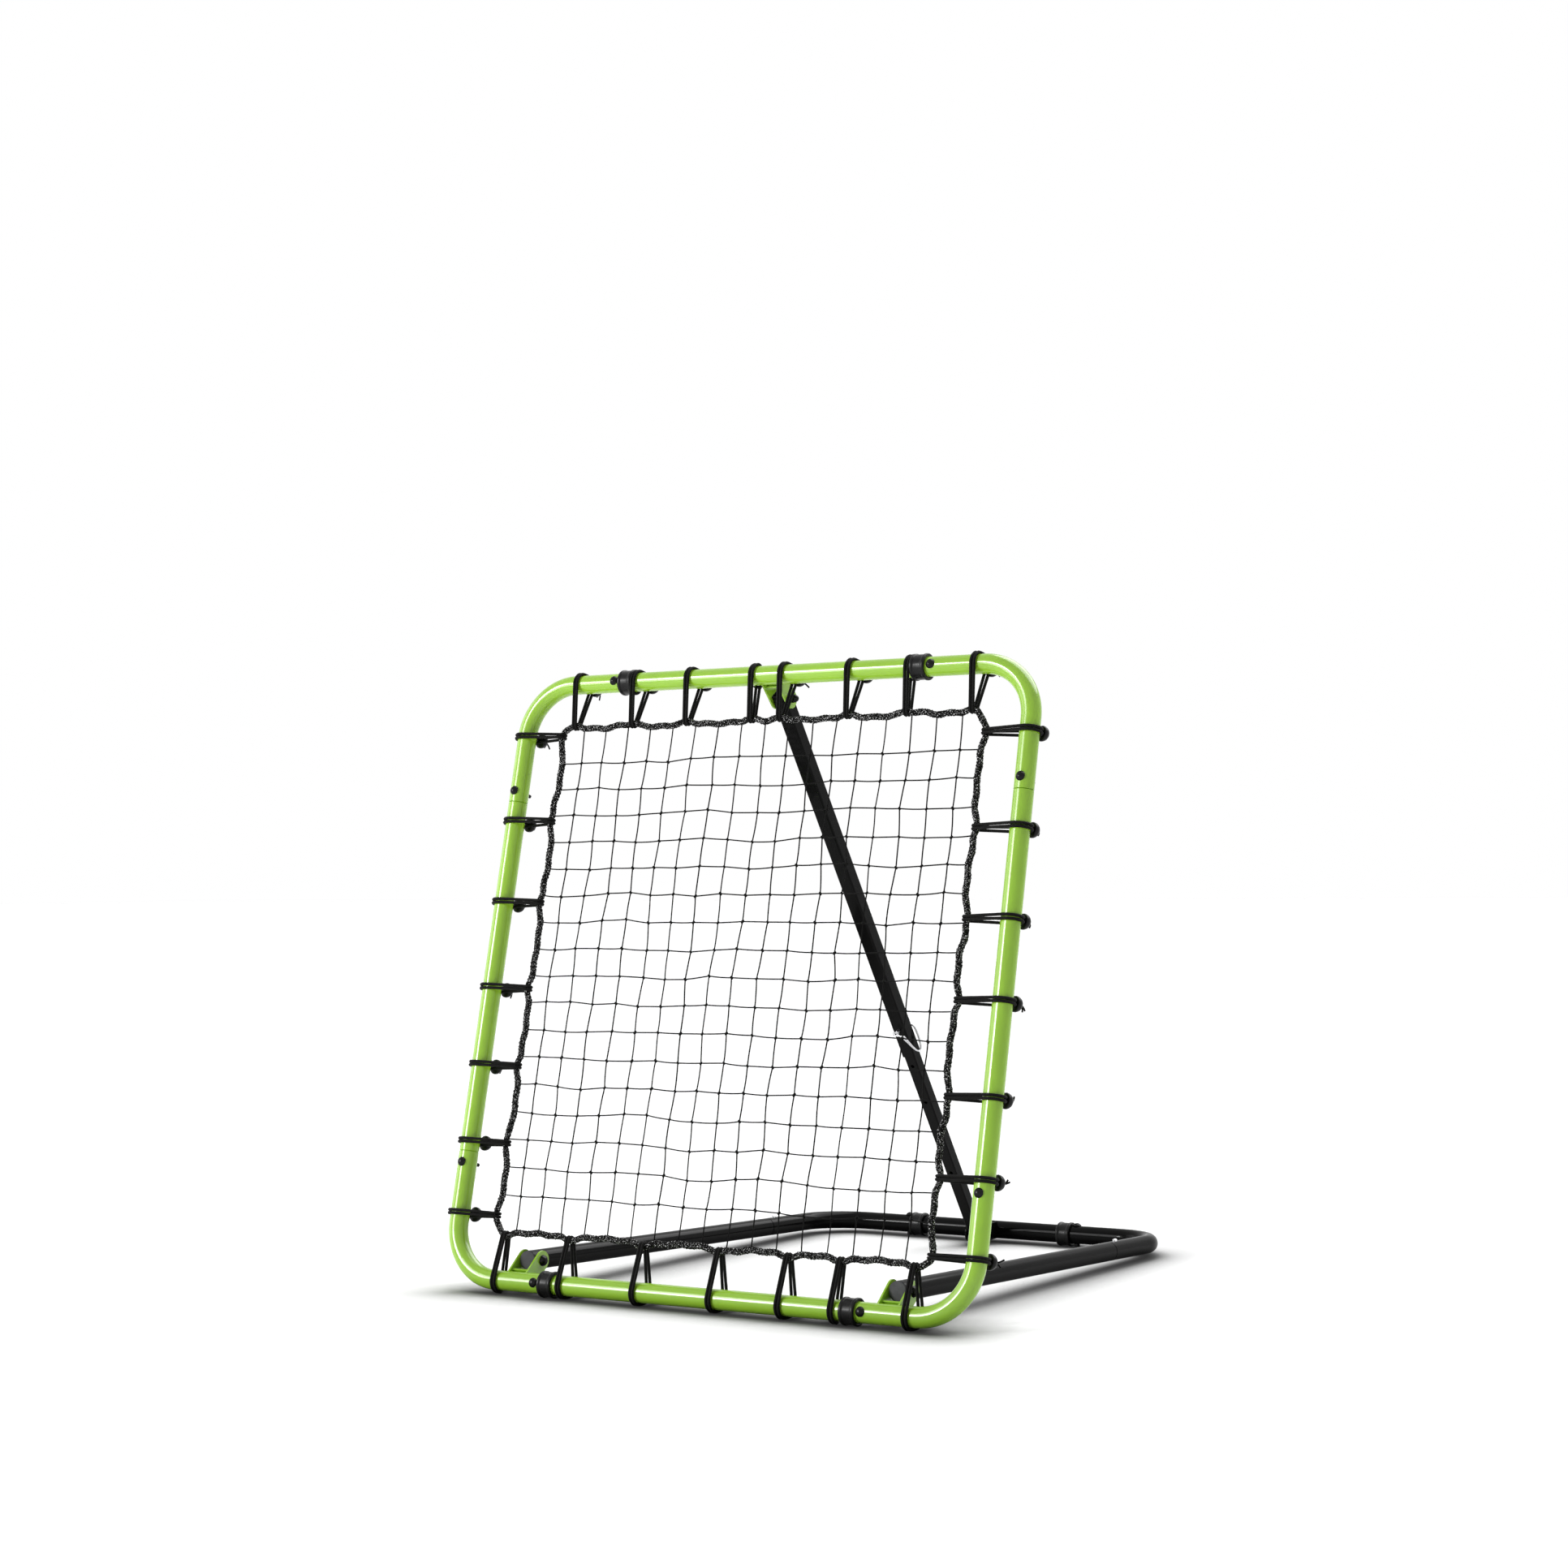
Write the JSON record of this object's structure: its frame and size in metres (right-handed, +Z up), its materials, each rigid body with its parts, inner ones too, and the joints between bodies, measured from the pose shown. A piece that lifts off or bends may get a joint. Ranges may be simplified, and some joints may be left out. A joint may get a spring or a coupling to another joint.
{
  "type": "pitch back rebounder",
  "caption": "Leaning rectangular tube frame with a tied square-mesh net on a folding U base, held by a telescopic strut with a lock pin.",
  "frame": {"origin": "on the floor, midway across the width and midway between the front and rear extremes of the base", "axes": "+Z up, -Y is the front, where the net faces the player, +X is to the right as seen from the front"},
  "size_m": [1.011, 1.008, 1.0203],
  "materials": {
    "green_paint": "glossy lime green powder coat",
    "black_paint": "satin black powder coat",
    "collar_plastic": "black moulded plastic with a soft sheen",
    "plug_plastic": "dark grey moulded plastic",
    "ball_plastic": "black moulded plastic",
    "net_cord": "black knotted cord",
    "edge_rope": "black braided rope with pale flecks",
    "tie_elastic": "black covered elastic cord",
    "black_fixings": "glossy black fixings",
    "plated_steel": "bright plated steel"
  },
  "bodies": {
    "base": {"leg_left": "black_paint", "leg_right": "black_paint", "rear_corner_left": "black_paint", "rear_corner_right": "black_paint", "rear_tube": "black_paint", "rear_collar_left": "collar_plastic", "rear_collar_right": "collar_plastic", "end_plug_left": "plug_plastic", "end_plug_right": "plug_plastic", "snap_spring_left": "plated_steel", "snap_spring_right": "plated_steel", "rear_bolts": "black_fixings", "rear_nuts": "black_fixings", "foot_bracket": "black_paint", "foot_bolt": "black_fixings", "foot_nut": "black_fixings"},
    "frame": {"corner_top_left": "green_paint", "corner_top_right": "green_paint", "corner_bottom_left": "green_paint", "corner_bottom_right": "green_paint", "tube_top": "green_paint", "tube_bottom": "green_paint", "tube_left": "green_paint", "tube_right": "green_paint", "collar_top_left": "collar_plastic", "collar_top_right": "collar_plastic", "collar_bottom_left": "collar_plastic", "collar_bottom_right": "collar_plastic", "base_bracket_left": "green_paint", "base_bracket_right": "green_paint", "head_bracket": "green_paint", "frame_bolts": "black_fixings", "frame_nuts": "black_fixings", "net": "net_cord", "edge_rope": "edge_rope", "ties_top": "tie_elastic", "ties_bottom": "tie_elastic", "ties_left": "tie_elastic", "ties_right": "tie_elastic", "tie_balls": "ball_plastic", "pivot_bolts": "black_fixings", "pivot_caps": "black_fixings", "head_bolt": "black_fixings", "head_nut": "black_fixings"},
    "strut_outer": {"strut_outer": "black_paint"},
    "strut_inner": {"strut_inner": "black_paint"},
    "lock_pin": {"lock_pin": "plated_steel"},
    "lock_clip": {"lock_clip": "plated_steel"},
    "button_left": {"snap_button_left": "plated_steel"},
    "button_right": {"snap_button_right": "plated_steel"}
  },
  "joints": [
    {"name": "frame_tilt", "type": "hinge", "parent": "base", "child": "frame", "pos_m": [0, -0.44241, 0.05213], "axis": [1, 0, 0], "range_deg": [0, 13.25]},
    {"name": "strut_head", "type": "hinge", "parent": "frame", "child": "strut_outer", "pos_m": [0, -0.21646, 0.96155], "axis": [1, 0, 0], "range_deg": [-6.16, 0]},
    {"name": "strut_slide", "type": "slide", "parent": "strut_outer", "child": "strut_inner", "axis": [0, 0.5621, -0.827], "range_m": [0, 0.1551]},
    {"name": "lock_pin_pull", "type": "slide", "parent": "strut_outer", "child": "lock_pin", "axis": [0, 0.827, 0.5621], "range_m": [0, 0.038]},
    {"name": "lock_clip_swing", "type": "hinge", "parent": "lock_pin", "child": "lock_clip", "pos_m": [0, 0.17337, 0.41827], "axis": [0, -0.5621, 0.827], "range_deg": [0, 110]},
    {"name": "button_left_press", "type": "slide", "parent": "base", "child": "button_left", "axis": [0, -0.0331, -0.9995], "range_m": [0, 0.0058], "stiffness_N_per_m": 1500, "springref_m": -0.002, "deforming": ["snap_spring_left"]},
    {"name": "button_right_press", "type": "slide", "parent": "base", "child": "button_right", "axis": [0, -0.0331, -0.9995], "range_m": [0, 0.0058], "stiffness_N_per_m": 1500, "springref_m": -0.002, "deforming": ["snap_spring_right"]}
  ],
  "couplings": [
    {"joint": "strut_head", "follows": "frame_tilt", "ratio": -0.45608},
    {"joint": "strut_slide", "follows": "frame_tilt", "m_per_rad": 0.66401},
    {"joint": "lock_clip_swing", "follows": "lock_pin_pull", "rad_per_m": 50.523}
  ]
}
